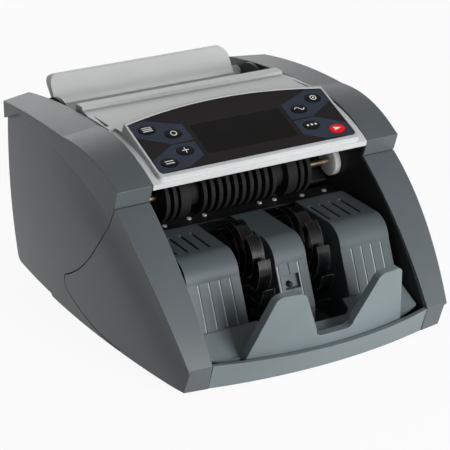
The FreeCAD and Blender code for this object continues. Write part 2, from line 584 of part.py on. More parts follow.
def make_stacker():
    s = size
    outer_width = "block_outer - block_inner"
    node("left_stacker_block", block("block_left", "-block_outer", outer_width, 4, "groove_shift", 4))
    node("right_stacker_block", block("block_right", "block_inner", outer_width, 4, "groove_shift", 4))
    centre = block("block_centre", "-centre_half", "2 * centre_half", 3, "centre_groove_shift", 0)
    low = s.sensor_low_z
    high = s.sensor_low_z + s.sensor_height
    boss_side = face_strip(low - s.wall, high + s.wall, s.block_skin / 2, s.sensor_depth + s.sensor_back)
    boss = pad("sensor_boss", "YZ", [boss_side], "sensor_x - sensor_width / 2 - sensor_back",
               "sensor_width + 2 * sensor_back")
    window = pad("sensor_window", "YZ", [face_strip(low, high, -s.wall, s.sensor_depth)],
                 "sensor_x - sensor_width / 2", "sensor_width")
    eye = ("eye_x", "block_foot_y + sensor_depth / 2 + (eye_z - block_foot_z) * (block_face_y - block_foot_y)"
           " / (block_face_z - block_foot_z)", "eye_z")
    seat = rod("sensor_seat", *eye, "sensor_radius", "4 * sensor_depth", axis="y")
    bossed = fuse("block_centre_bossed", centre, boss)
    node("centre_stacker_block", cut("block_centre_cut", bossed, window, seat))
    stem = rod("sensor_stem", *eye, "sensor_radius", "3 * sensor_depth", axis="y")
    dome = doc.addObject("Part::Sphere", "sensor_dome")
    bind(dome, Radius="sensor_radius")
    place(dome, *eye)
    node("pocket_sensor", fuse("sensor", stem, dome))
    under = s.pocket_sheet
    side = [
        (s.pocket_rear_y, s.pocket_rear_z), (s.pocket_bend_y, s.pocket_bend_z),
        (s.lip_mid_y, s.pocket_bend_z), (s.lip_mid_y, s.pocket_bend_z - under),
        (s.pocket_bend_y, s.pocket_bend_z - under), (s.pocket_rear_y, s.pocket_rear_z - under),
    ]
    half = s.pocket_cut_half
    tip = s.pocket_cut_y
    r = s.pocket_cut_round
    plan = with_mirror([
        (half - r, tip), Bend((half - 0.3 * r, tip + 0.3 * r), (half, tip + r)), (half, s.pocket_rear_y),
        (s.pocket_half, s.pocket_rear_y), (s.pocket_half, s.pocket_front_y + s.bow),
    ])
    plan.append(Bend((0, s.pocket_front_y), plan[0]))
    sheet_body = pad("pocket_side", "YZ", [side], "-pocket_half", "2 * pocket_half")
    node("pocket_floor", common("pocket", sheet_body, pad("pocket_plan", "XY", [plan], "0", "block_rear_z")))


# Steel frames, bushes, rollers, wheels and drive
def make_frames():
    s = size
    outline = cheek_room(s.wall + s.frame_clear)
    plate = pad("frame_plate", "YZ", [outline], "throat_half", "frame_sheet")
    low = box("frame_trim", ("0", "2 * throat_half"), ("-2 * half_depth", "4 * half_depth"),
              ("-crest_z", "crest_z + foot_height + tray_thickness + frame_clear"))
    holes = [rod(f"frame_hole_{at}", "throat_half - wall", f"{at}_y", f"{at}_z", "bush_radius", "3 * wall")
             for at in ("count", "pickup", "stack")]
    right_motor = rod("frame_motor_hole", "throat_half - wall", "motor_y", "motor_z", "motor_hole",
                      "3 * wall")
    left_motor = rod("frame_small_hole", "throat_half - wall", "small_motor_y", "small_motor_z", "motor_hole",
                     "3 * wall")
    drilled = cut("frame_drilled", plate, low, *holes)
    node("right_frame", cut("frame_right", drilled, right_motor))
    node("left_frame", mirrored("frame_left", cut("frame_left_cut", drilled, left_motor)))
    spots = (("rim_mid_y + wall", "crest_z / 2"), ("hopper_foot_y", "pickup_z"),
             ("ridge_front_y", "back_top_z + wall"))
    bars = [rod(f"bar_{index}", "-throat_half", y, z, "bar_radius", "2 * throat_half")
            for index, (y, z) in enumerate(spots)]
    node("cross_bars", group("bars", bars))
    starts = {"right": "throat_half - bush_flange_width", "left": "-throat_half - frame_sheet"}
    flanges = {"right": "throat_half - bush_flange_width", "left": "-throat_half"}
    bushes = []
    for at, side in (("count", "left"), ("pickup", "left"), ("pickup", "right"), ("stack", "left"),
                     ("stack", "right")):
        name = f"{at}_{side}"
        axis = (f"{at}_y", f"{at}_z")
        body = rod(name + "_sleeve", starts[side], *axis, "bush_radius", "frame_sheet + bush_flange_width")
        flange = rod(name + "_flange", flanges[side], *axis, "bush_flange", "bush_flange_width")
        bore = rod(name + "_bore", f"{starts[side]} - wall", *axis, "shaft_radius + run_clear", "4 * wall")
        bushes.append(cut(name + "_bush", fuse(name + "_blank", body, flange), bore))
    node("shaft_bushes", group("bushes", bushes))
    head = rod("end_bush_head", "end_bush_x", "count_y", "count_z", "end_bush_radius", "end_bush_width")
    neck = rod("end_bush_neck", "end_bush_x", "count_y", "count_z", "bush_radius",
               "throat_half + frame_sheet - end_bush_x")
    bore = rod("end_bush_bore", "end_bush_x - wall", "count_y", "count_z", "shaft_radius + run_clear",
               "throat_half")
    node("count_end_bush", cut("end_bush", fuse("end_bush_blank", head, neck), bore))


def shaft(name, at, left, right):
    return node(name, rod(name, left, f"{at}_y", f"{at}_z", "shaft_radius", f"{right} - ({left})"))


def sleeve(name, x, at, radius, width):
    outer = rod(name + "_outer", x, f"{at}_y", f"{at}_z", radius, width)
    bore = rod(name + "_bore", f"{x} - wall", f"{at}_y", f"{at}_z", "shaft_radius", f"{width} + 2 * wall")
    return cut(name, outer, bore)


def ring_places():
    """Middle and width of each rubber ring of the counting roller, both halves alike."""
    places = [(f"{index + 0.5} * ring_pitch", "ring_width") for index in range(5)]
    places += [("wide_ring_x", "wide_ring_width"), ("side_ring_x", "ring_width")]
    places += [("end_ring_x", "ring_width")]
    return [(f"roller_mid {sign} {x}", width) for sign in "+-" for x, width in places]


def make_rollers():
    shaft("count_shaft", "count", "-throat_half - shaft_stub", "shaft_reach")
    drum = rod("count_drum", "roller_mid - drum_half", "count_y", "count_z", "drum_radius", "2 * drum_half")
    rings = [rod(f"count_ring_{index}", f"{x} - {width} / 2", "count_y", "count_z", "ring_radius", width)
             for index, (x, width) in enumerate(ring_places())]
    bore = rod("count_bore", "-throat_half", "count_y", "count_z", "shaft_radius", "2 * throat_half")
    node("count_roller", cut("count_roller_cut", fuse("count_roller_blank", drum, *rings), bore))
    shaft("pickup_shaft", "pickup", "-throat_half - shaft_stub", "shaft_reach")
    tyres = [sleeve(f"pickup_tyre_{index}", f"{x} - tyre_width / 2", "pickup", "tyre_radius", "tyre_width")
             for index, x in enumerate(("-tyre_outer_x", "-tyre_inner_x", "tyre_inner_x", "tyre_outer_x"))]
    node("pickup_tyres", group("tyres", tyres))
    shaft("stacker_shaft", "stack", "-shaft_reach", "throat_half + shaft_stub")
    for name, pulley, x, at in (("count_pulley", "count_pulley", "pulley_start", "count"),
                                ("pickup_pulley", "pickup_pulley", "pulley_start", "pickup"),
                                ("stacker_pulley", "stack_pulley", "-pulley_start - pulley_width", "stack")):
        node(name, sleeve(name + "_body", x, at, pulley, "pulley_width"))


def spoke(radius, lag):
    """Point of a wheel's side view at a radius, turned back from its blade's root by an angle."""
    return (radius * math.cos(math.radians(lag)), -radius * math.sin(math.radians(lag)))


def blade_outline():
    """One thin spiral blade, from the hub to the tip, drawn around the wheel's own axis."""
    s = size
    root = s.wheel_hub - s.blade_sheet
    middle = (s.wheel_hub + s.wheel_radius) / 2
    return [
        spoke(root, 0),
        Bend(spoke(middle, s.blade_mid_lag), spoke(s.wheel_radius, s.blade_lag)),
        spoke(s.wheel_radius - s.blade_sheet, s.blade_lag),
        Bend(spoke(middle - s.blade_sheet, s.blade_mid_lag), spoke(root, s.blade_root_lag)),
    ]


def make_wheels():
    for name, middle in (("left_stacker_wheel", "-wheel_x"), ("right_stacker_wheel", "wheel_x")):
        body = doc.addObject("PartDesign::Body", name + "_body")
        hub_line = Part.Circle(Vector(), Vector(0, 0, 1), size.wheel_hub)
        bore_line = Part.Circle(Vector(), Vector(0, 0, 1), size.shaft_radius)
        hub = body.newObject("PartDesign::Pad", name + "_hub")
        hub.Profile = sketch(body, name + "_hub_outline", "YZ", [hub_line, bore_line], "-wheel_width / 2")
        bind(hub, Length="wheel_width")
        blade = body.newObject("PartDesign::Pad", name + "_blade")
        blade.Profile = sketch(body, name + "_blade_outline", "YZ", [blade_outline()], "-wheel_width / 2")
        bind(blade, Length="wheel_width")
        doc.recompute()
        blades = body.newObject("PartDesign::PolarPattern", name + "_blades")
        blades.Originals = [blade]
        blades.Axis = ([axis for axis in body.Origin.OriginFeatures if axis.Role == "X_Axis"][0], [""])
        blades.Angle = 360
        bind(blades, Occurrences="blade_count")
        body.Tip = blades
        node(name, place(body, middle, "stack_y", "stack_z"))


def belt_outline(pulleys, growth):
    """Closed line of a belt around pulleys listed anticlockwise as (y, z, radius)."""
    legs = []
    for (y0, z0, r0), (y1, z1, r1) in zip(pulleys, pulleys[1:] + pulleys[:1]):
        heading = math.atan2(z1 - z0, y1 - y0)
        lean = math.acos((r0 - r1) / math.hypot(y1 - y0, z1 - z0))
        angle = heading - lean
        legs.append([(y + (r + growth) * math.cos(angle), z + (r + growth) * math.sin(angle))
                     for y, z, r in ((y0, z0, r0), (y1, z1, r1))] + [angle])
    outline = [legs[0][0]]
    for leg, following, (y, z, r) in zip(legs, legs[1:] + legs[:1], pulleys[1:] + pulleys[:1]):
        sweep = (following[2] - leg[2]) % (2 * math.pi)
        middle = leg[2] + sweep / 2
        crown = (y + (r + growth) * math.cos(middle), z + (r + growth) * math.sin(middle))
        outline.append(leg[1])
        outline.append(Bend(crown, following[0]))
    return outline


def belt(name, pulleys, start):
    outer = belt_outline(pulleys, size.belt_clear + size.belt_sheet)
    inner = belt_outline(pulleys, size.belt_clear)
    return node(name, pad(name + "_loop", "YZ", [outer, inner], start, "belt_width"))


def motor(name, at, start, length, mouth):
    """Motor can with a bore at the mouth where its shaft comes out."""
    can = rod(name + "_can", start, f"{at}_y", f"{at}_z", f"{at}_radius", length)
    bore = rod(name + "_bore", mouth, f"{at}_y", f"{at}_z", "motor_shaft + run_clear",
               "motor_bore_depth + wall")
    return node(name, cut(name + "_cut", can, bore))


def make_drive():
    s = size
    motor("main_motor", "motor", "throat_half - motor_length", "motor_length",
          "throat_half - motor_bore_depth")
    motor("stacker_motor", "small_motor", "-throat_half", "small_motor_length", "-throat_half - wall")
    left_x = "-pulley_start - pulley_width"
    for name, at, radius, x, stub_x in (
            ("main_motor_pulley", "motor", "motor_pulley", "pulley_start",
             "throat_half - motor_bore_depth + wall"),
            ("stacker_motor_pulley", "small_motor", "small_pulley", left_x, left_x)):
        wheel = rod(name + "_wheel", x, f"{at}_y", f"{at}_z", radius, "pulley_width")
        stub = rod(name + "_stub", stub_x, f"{at}_y", f"{at}_z", "motor_shaft",
                   "pulley_start - throat_half + pulley_width + motor_bore_depth - wall")
        node(name, fuse(name + "_rotor", wheel, stub))
    middle = "pulley_start + (pulley_width - belt_width) / 2"
    belt("drive_belt", [(s.count_y, s.count_z, s.count_pulley), (s.motor_y, s.motor_z, s.motor_pulley),
                        (s.pickup_y, s.pickup_z, s.pickup_pulley)], middle)
    belt("stacker_belt", [(s.stack_y, s.stack_z, s.stack_pulley),
                          (s.small_motor_y, s.small_motor_z, s.small_pulley)], f"-({middle}) - belt_width")


# Console: a tilted plateau with overlay, window and keys on a curved flange between the cheeks
def tilted(obj, across="0", along="0", out="0"):
    """Put an object into the tilted plane of the console: across, up the slope and out of the plane."""
    obj.Placement = Placement(Vector(), Rotation(Vector(1, 0, 0), size.panel_tilt))
    obj.setExpression("Placement.Rotation.Angle", bound("panel_tilt"))
    return place(obj, across, f"panel_y + ({along}) * cos(panel_tilt) - ({out}) * sin(panel_tilt)",
                 f"panel_z + ({along}) * sin(panel_tilt) + ({out}) * cos(panel_tilt)")


def arched(half, front, rear, corner):
    """Panel outline with round front corners and an arched rear edge."""
    middle = corner * (1 - math.sqrt(0.5))
    return [
        (-half, rear), (-half, front + corner),
        Bend((-half + middle, front + middle), (-half + corner, front)), (half - corner, front),
        Bend((half - middle, front + middle), (half, front + corner)), (half, rear),
        Bend((0, rear + size.plateau_arch), (-half, rear)),
    ]


def key_places():
    s = size
    half = [(s.key_outer_x, s.key_outer_rear), (s.key_inner_x, s.key_inner_rear),
            (s.key_inner_x, s.key_inner_front), (s.key_outer_x, s.key_outer_front)]
    return {f"{side}_key_{index}": (sign * x, along) for side, sign in (("left", -1), ("right", 1))
            for index, (x, along) in enumerate(half, start=1)}


def oval(x, along, growth):
    centre = Vector(x, along, 0)
    long_end = centre + Vector(size.key_long + growth, 0, 0)
    short_end = centre + Vector(0, size.key_short + growth, 0)
    return Part.Ellipse(long_end, short_end, centre)


def make_console():
    s = size
    corner = s.overlay_corner
    window = rounded_box((-s.window_half, s.window_front), (s.window_half, s.window_rear), corner / 2)
    key_holes = [oval(x, along, s.key_gap) for x, along in key_places().values()]
    top = arched(s.plateau_half, -s.plateau_front, s.plateau_rear, corner)
    plateau = tilted(pad("plateau", "XY", [top], "-plateau_depth", "plateau_depth + plateau_rim"))
    ahead = s.flange_low_y - 2 * s.wall
    above = 2 * s.panel_z
    under = [
        (ahead, s.flange_low_z), (s.flange_low_y + s.flange_sheet, s.flange_low_z),
        Bend((s.flange_mid_y, s.flange_mid_z - s.flange_sheet),
             (s.flange_rear_y, s.flange_rear_z - s.flange_sheet)),
        (s.flange_rear_y, s.cover_z + s.cover_clear), (s.ridge_front_y, s.cover_z + s.cover_clear),
        (s.ridge_front_y, above), (ahead, above),
    ]
    region = pad("plateau_region", "YZ", [under], "-throat_half", "2 * throat_half")
    kept = common("plateau_kept", plateau, region)
    flange = [
        (s.flange_low_y, s.flange_low_z), (s.step_y - s.cover_clear, s.step_z),
        Bend((s.flange_mid_y, s.flange_mid_z), (s.flange_rear_y, s.flange_rear_z)),
        (s.flange_rear_y, s.flange_rear_z - s.flange_sheet),
        Bend((s.flange_mid_y, s.flange_mid_z - s.flange_sheet),
             (s.flange_low_y + s.flange_sheet, s.flange_low_z)),
    ]
    skirt = pad("console_flange", "YZ", [flange], "-flange_half", "2 * flange_half")
    ear = [
        (s.flange_rear_y, s.flange_rear_z), (s.ear_rear_y, s.ear_rear_z),
        (s.ear_rear_y, s.ear_rear_z - s.flange_sheet), (s.flange_rear_y, s.flange_rear_z - s.flange_sheet),
    ]
    right_ear = pad("console_ear", "YZ", [ear], "ear_half", "flange_half - ear_half")
    left_ear = mirrored("console_left_ear", right_ear)
    inside = arched(s.plateau_half - s.wall, 0, s.overlay_rear - s.wall, corner)
    room = pad("console_room", "XY", [inside], "-3 * plateau_depth", "3 * plateau_depth - plateau_skin")
    bed = arched(s.overlay_half, 0, s.overlay_rear, corner)
    recess = tilted(pad("overlay_recess", "XY", [bed], "-overlay_sheet", "overlay_sheet + wall"))
    holes = pad("console_openings", "XY", [window] + key_holes, "-2 * plateau_skin", "3 * plateau_skin")
    solid = fuse("console_solid", kept, skirt, right_ear, left_ear)
    node("console_housing", cut("console", solid, tilted(room), recess, tilted(holes)))
    slack = s.overlay_slack
    face = arched(s.overlay_half - slack, slack, s.overlay_rear - slack, corner)
    skin = pad("overlay", "XY", [face, window] + key_holes, "-overlay_sheet", "overlay_sheet")
    node("console_overlay", tilted(skin))
    lens = pad("lens", "XY", [inset(window, s.run_clear)], "-window_sheet", "window_sheet")
    node("display_window", tilted(lens))
    board = box("key_board", ("0", "2 * board_half"), ("0", "overlay_rear - 4 * wall"), ("0", "board_sheet"))
    module = box("display_module", ("0", "2 * display_half"), ("0", "window_rear - window_front - wall"),
                 ("0", "board_drop - plateau_skin"))
    tilted(board, "-board_half", "2 * wall", "-board_drop - board_sheet")
    tilted(module, "-display_half", "window_front + wall / 2", "-board_drop")
    node("display_board", fuse("display", board, module))
    flange_low = "-plateau_skin - run_gap - key_flange"
    for name, (x, along) in key_places().items():
        cap = pad(name + "_cap", "XY", [oval(x, along, 0)], flange_low, f"key_proud - ({flange_low})")
        rest = pad(name + "_flange", "XY", [oval(x, along, s.key_flange)], flange_low, "key_flange")
        node(name, fuse(name + "_body", tilted(cap), tilted(rest)))


# Hopper: top cover with its ridge, back plate, sloping chute, guides and separator
def chute_height(y, above=0.0):
    return size.chute_front_z + (y - size.chute_front_y) * size.chute_slope + above


def make_hopper():
    s = size
    under = s.cover_z - s.cover_sheet
    slant = s.ridge_slant
    cover = [
        (s.cover_front_y, s.cover_z), (s.ridge_front_y, s.cover_z), (s.ridge_front_y + slant, s.ridge_z),
        (s.ridge_rear_y - slant, s.ridge_z), (s.ridge_rear_y, s.ridge_z - slant),
        (s.ridge_rear_y, s.cover_apron_z), (s.ridge_rear_y - s.cover_sheet, s.cover_apron_z),
        (s.ridge_rear_y - s.cover_sheet, under), (s.cover_front_y, under),
    ]
    plan = with_mirror([
        (s.cover_front_half, s.cover_front_y), (s.cover_front_half, s.cover_side_y),
        (s.cover_half, s.cover_side_y), (s.cover_half, s.ridge_taper_y), (s.ridge_half, s.ridge_front_y),
        (s.ridge_half, s.ridge_rear_y),
    ])
    wedges = [[(sign * s.wedge_rear_x, s.wedge_rear_y), (sign * s.wedge_outer_x, s.wedge_front_y),
               (sign * s.wedge_inner_x, s.wedge_front_y)] for sign in (-1, 1)]
    cover_side = pad("cover_side", "YZ", [cover], "-cover_half", "2 * cover_half")
    cover_plan = pad("cover_plan", "XY", [plan] + wedges, "0", "2 * cover_z")
    node("top_cover", common("cover", cover_side, cover_plan))
    back = s.hopper_sheet
    sag = s.hopper_sag
    crown_z = s.hopper_top_z + s.hopper_crown
    plate = [
        (s.hopper_foot_y, s.hopper_foot_z),
        Bend((s.hopper_mid_y, s.hopper_mid_z), (s.hopper_top_y, s.hopper_top_z)),
        Bend((s.hopper_top_y + back * 0.6, crown_z), (s.hopper_top_y + back, s.hopper_top_z - sag)),
        Bend((s.hopper_mid_y + back, s.hopper_mid_z - sag), (s.hopper_foot_y + back, s.hopper_foot_z + sag)),
    ]
    low = (-s.hopper_half, s.hopper_low_z - s.hopper_round)
    face = rounded_box(low, (s.hopper_half, crown_z), s.hopper_round)
    backrest_side = pad("backrest_side", "YZ", [plate], "-hopper_half", "2 * hopper_half")
    backrest_face = pad("backrest_face", "XZ", [face], "-half_depth", "half_depth")
    node("hopper_plate", common("backrest", backrest_side, backrest_face))
    sheet_lines = [
        (s.chute_front_y, s.chute_front_z), (s.chute_rear_y, chute_height(s.chute_rear_y)),
        (s.chute_rear_y, chute_height(s.chute_rear_y, -s.chute_sheet)),
        (s.chute_front_y, s.chute_front_z - s.chute_sheet),
    ]
    chute = pad("chute_sheet", "YZ", [sheet_lines], "-chute_half", "2 * chute_half")
    through = ("chute_front_z", "crest_z - chute_front_z")
    tyre_run = "tyre_width + 2 * guide_lift"
    slots = [box(f"tyre_slot_{index}", (f"{x} - ({tyre_run}) / 2", tyre_run),
                 ("pickup_y - chute_slot", "2 * chute_slot"), through)
             for index, x in enumerate(("-tyre_outer_x", "-tyre_inner_x", "tyre_inner_x", "tyre_outer_x"))]
    guide_run = "guide_travel + 2 * guide_sheet"
    runs = [box(f"guide_slot_{side}", (start, guide_run), ("slot_y - foot_slot / 2", "foot_slot"), through)
            for side, start in (("right", "guide_x - guide_travel - guide_sheet / 2"),
                                ("left", "-guide_x - 3 * guide_sheet / 2"))]
    node("hopper_floor", cut("chute", chute, *slots, *runs))
    shoulder = s.guide_top_z - 2 * s.wall
    middle = (s.guide_front_y + s.guide_rear_y) / 2
    arch = [
        (s.guide_front_y, chute_height(s.guide_front_y, s.guide_lift)), (s.guide_front_y, shoulder),
        Bend((middle, s.guide_top_z), (s.guide_rear_y, shoulder)),
        (s.guide_rear_y, chute_height(s.guide_rear_y, s.guide_lift)),
    ]
    wing = pad("guide_wing", "YZ", [arch], "guide_x", "guide_sheet")
    slot_z = "chute_front_z + (slot_y - chute_front_y) * chute_slope"
    tab = box("guide_tab", ("guide_x", "guide_sheet"), ("slot_y - foot_tab / 2", "foot_tab"),
              (f"{slot_z} - foot_tab_drop", "2 * foot_tab_drop"))
    node("right_note_guide", fuse("guide_right", wing, tab))
    node("left_note_guide", mirrored("guide_left", NODES["right_note_guide"]))
    node("separator_shaft", rod("separator_bar", "-throat_half", "separator_y", "separator_z", "shaft_radius",
                                "2 * throat_half"))
    tyres = [sleeve(f"separator_tyre_{index}", f"{x} - separator_width / 2", "separator", "separator_radius",
                    "separator_width") for index, x in enumerate(("-separator_x", "separator_x"))]
    node("separator_tyres", group("separators", tyres))


def make_guide_plate():
    node("guide_plate", box("guide_sheet_box", ("-chute_half", "2 * chute_half"),
                            ("plate_front_y", "plate_rear_y - plate_front_y"),
                            ("plate_top_z - plate_sheet", "plate_sheet")))
    dots = []
    rows = {"inner": "dot_y", "middle": "dot_y", "side": "dot_front_y", "outer": "dot_front_y"}
    for spot, y in rows.items():
        for sign in ("", "-"):
            dots.append(rod(f"{spot}_dot", f"{sign}dot_{spot}_x", y, "plate_top_z", "dot_radius",
                            "dot_height", axis="z"))
    node("guide_sensors", group("dots", dots))


# Back: panel with vents, mains inlet and rocker switch
def make_back():
    s = size
    through = ("back_y - wall", "4 * wall")
    inner_width = ("inlet_x - inlet_half_width + inlet_flange", "2 * (inlet_half_width - inlet_flange)")
    inner_height = ("inlet_z - inlet_half_height + inlet_flange", "2 * (inlet_half_height - inlet_flange)")
    panel = box("back_sheet_box", ("-back_half", "2 * back_half"), ("back_y", "back_sheet"),
                ("rear_low_z", "back_top_z - rear_low_z"))
    inlet_hole = box("inlet_hole", inner_width, through, inner_height)
    rocker_hole = box("rocker_hole",
                      ("rocker_x - rocker_half - rocker_gap", "2 * (rocker_half + rocker_gap)"), through,
                      ("inlet_z - rocker_radius - rocker_gap", "2 * (rocker_radius + rocker_gap)"))
    vents = [box(f"vent_{index}", (f"({index} - 3.5) * vent_pitch - vent_width / 2", "vent_width"), through,
                 ("vent_low_z", "vent_height")) for index in range(8)]
    sheet_back = cut("back_panel", panel, inlet_hole, rocker_hole, *vents)
    lugs = [box(f"{side}_lug", (start, "lug_sheet"),
                ("back_y - rocker_axis - rocker_lug", "rocker_axis + rocker_lug"),
                ("inlet_z - rocker_lug", "2 * rocker_lug"))
            for side, start in (("left", "rocker_x - rocker_half - rocker_gap - lug_sheet"),
                                ("right", "rocker_x + rocker_half + rocker_gap"))]
    seat = rod("rocker_seat", "rocker_x - 2 * rocker_half", "back_y - rocker_axis", "inlet_z",
               "rocker_pin + run_clear", "4 * rocker_half")
    node("rear_panel", cut("back_with_lugs", fuse("back_solid", sheet_back, *lugs), seat))
    face_y = "back_y + back_sheet + inlet_flange"
    flange = box("inlet_plate", ("inlet_x - inlet_half_width", "2 * inlet_half_width"),
                 ("back_y + back_sheet", "inlet_flange"),
                 ("inlet_z - inlet_half_height", "2 * inlet_half_height"))
    shell = box("inlet_shell", inner_width, (f"{face_y} - inlet_depth", "inlet_depth"), inner_height)
    socket = box("inlet_socket", ("inlet_x - socket_half_width", "2 * socket_half_width"),
                 (f"{face_y} - socket_depth", "socket_depth + wall"),
                 ("inlet_z - socket_half_height", "2 * socket_half_height"))
    pins = [box(f"inlet_pin_{index}", (f"inlet_x + {x} - pin_width / 2", "pin_width"),
                (f"{face_y} - socket_depth - pin_width", "pin_length + pin_width"),
                (f"inlet_z + {z} - pin_height / 2", "pin_height"))
            for index, (x, z) in enumerate((("-pin_spread", "-pin_row"), ("pin_spread", "-pin_row"),
                                            ("0", "pin_row")))]
    hollow = cut("inlet_hollow", fuse("inlet_blank", flange, shell), socket)
    node("power_inlet", fuse("inlet", hollow, *pins))
    hollow_y = s.rocker_axis + s.back_sheet
    tip_z = s.rocker_radius - s.rocker_taper
    side = [
        (-s.shaft_radius, -s.shaft_radius), (hollow_y + s.rocker_proud, -tip_z), (hollow_y, 0),
        (hollow_y + s.rocker_proud, tip_z), (-s.shaft_radius, s.shaft_radius),
    ]
    wedge = pad("rocker_wedge", "YZ", [side], "-rocker_half", "2 * rocker_half")
    pin = rod("rocker_axle", "-rocker_half - wall", "0", "0", "rocker_pin", "2 * (rocker_half + wall)")
    rocker = fuse("rocker", wedge, pin)
    rocker.Placement = Placement(Vector(), Rotation(Vector(1, 0, 0), -s.rocker_swing))
    bind(rocker, **{"Placement.Rotation.Angle": "-rocker_swing"})
    node("power_rocker", place(rocker, "rocker_x", "back_y - rocker_axis", "inlet_z"))


# Circuit boards on legs, with the larger pieces that stand on them
def board_on_legs(name, front, depth, pieces):
    top = "main_board_z + board_sheet"
    parts = [box(name + "_sheet", ("main_board_x", "main_board_length"), (front, depth),
                 ("main_board_z", "board_sheet"))]
    for index, (x, length, y, run, height) in enumerate(pieces):
        parts.append(box(f"{name}_piece_{index}", (f"main_board_x + {x}", length), (f"{front} + {y}", run),
                         (top, height)))
    for end, x in (("left", "main_board_x + leg_inset"),
                   ("right", "main_board_x + main_board_length - leg_inset")):
        for row, y in (("front", f"{front} + leg_inset"), ("rear", f"{front} + {depth} - leg_inset")):
            parts.append(rod(f"{name}_{end}_{row}_leg", x, y, "foot_height + tray_thickness", "leg_radius",
                             "main_board_z - foot_height - tray_thickness", axis="z"))
    return parts


def make_boards():
    main = board_on_legs("main", "main_board_y", "main_board_depth", (
        ("chip_x", "chip_length", "chip_y", "chip_depth", "chip_height"),
        ("driver_x", "driver_length", "driver_y", "chip_depth", "chip_height"),
        ("socket_x", "socket_length", "socket_y", "socket_run", "2 * chip_height")))
    node("main_board", fuse("main_board_body", *main))
    supply = board_on_legs("supply", "power_board_y", "power_board_depth", (
        ("coil_x", "coil_length", "coil_y", "coil_depth", "coil_height"),))
    can = rod("supply_can", "main_board_x + can_x", "power_board_y + can_y", "main_board_z + board_sheet",
              "can_radius", "can_height", axis="z")
    node("power_board", fuse("supply_body", *supply, can))


def check_and_write():
    doc.recompute()
    for obj in doc.Objects:
        if "Invalid" in obj.State or "Error" in obj.State:
            raise RuntimeError(f"{obj.Name} ({obj.Label}) failed: {obj.State}")
    for name, obj in NODES.items():
        if obj.Shape.isNull() or not obj.Shape.isValid() or not obj.Shape.Solids:
            raise RuntimeError(f"{name} has no valid solid")
    os.makedirs("parts", exist_ok=True)
    for name, obj in NODES.items():
        obj.Shape.exportStep(f"parts/{name}.step")


for make in (make_cheeks, make_base, make_fins, make_stacker, make_frames, make_rollers, make_wheels,
             make_drive, make_console, make_hopper, make_guide_plate, make_back, make_boards):
    make()
check_and_write()
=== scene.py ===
import json
import math

import bmesh
import bpy
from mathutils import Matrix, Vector


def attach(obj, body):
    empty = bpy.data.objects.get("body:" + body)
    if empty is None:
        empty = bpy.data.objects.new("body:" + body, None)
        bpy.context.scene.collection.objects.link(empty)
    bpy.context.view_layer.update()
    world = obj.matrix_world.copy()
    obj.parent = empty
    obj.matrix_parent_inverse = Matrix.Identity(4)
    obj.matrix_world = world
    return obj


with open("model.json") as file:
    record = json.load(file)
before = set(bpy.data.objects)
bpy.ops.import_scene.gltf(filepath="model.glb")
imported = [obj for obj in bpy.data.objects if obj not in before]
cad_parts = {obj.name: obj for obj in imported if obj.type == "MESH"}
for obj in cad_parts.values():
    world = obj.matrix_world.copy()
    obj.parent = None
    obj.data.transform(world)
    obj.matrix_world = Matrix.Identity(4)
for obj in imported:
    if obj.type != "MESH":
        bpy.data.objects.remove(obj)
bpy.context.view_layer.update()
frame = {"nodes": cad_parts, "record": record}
MM = 0.001

# Console plane: front edge of the overlay, and its tilt about X
PANEL_Y = -49.2
PANEL_Z = 147.8
PANEL_TILT = math.radians(23.46)
KEY_LONG = 7.3
KEY_SHORT = 4.9
KEY_PROUD = 0.5
KEY_GAP = 0.4
KEY_PLACES = {
    "key_1": (78, 50), "key_2": (59, 40.5), "key_3": (59, 20), "key_4": (78, 10.5),
}


# Helpers
def tone(red, green, blue):
    """Linear colour of an sRGB value from 0 to 255."""
    def straighten(value):
        share = value / 255
        return share / 12.92 if share <= 0.04045 else ((share + 0.055) / 1.055) ** 2.4
    return (straighten(red), straighten(green), straighten(blue), 1)


def on_panel(x, along, out):
    """Point of the console plane: across, up the slope and out of it, from millimetres."""
    y = PANEL_Y + along * math.cos(PANEL_TILT) - out * math.sin(PANEL_TILT)
    z = PANEL_Z + along * math.sin(PANEL_TILT) + out * math.cos(PANEL_TILT)
    return Vector((x, y, z)) * MM


def piece(name, mesh_maker, material, body):
    """New object from a bmesh, riding on a body."""
    mesh = bpy.data.meshes.new(name)
    shape = bmesh.new()
    mesh_maker(shape)
    shape.to_mesh(mesh)
    shape.free()
    obj = bpy.data.objects.new(name, mesh)
    bpy.context.scene.collection.objects.link(obj)
    mesh.materials.append(material)
    for face in mesh.polygons:
        face.use_smooth = True
    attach(obj, body)


# Materials
def ranged(tree, source, start, end, low, high):
    """The source's span from start to end, mapped to low and high."""
    made = tree.nodes.new("ShaderNodeMapRange")
    for socket, value in (("From Min", start), ("From Max", end), ("To Min", low), ("To Max", high)):
        made.inputs[socket].default_value = value
    tree.links.new(source, made.inputs["Value"])
    return made.outputs["Result"]


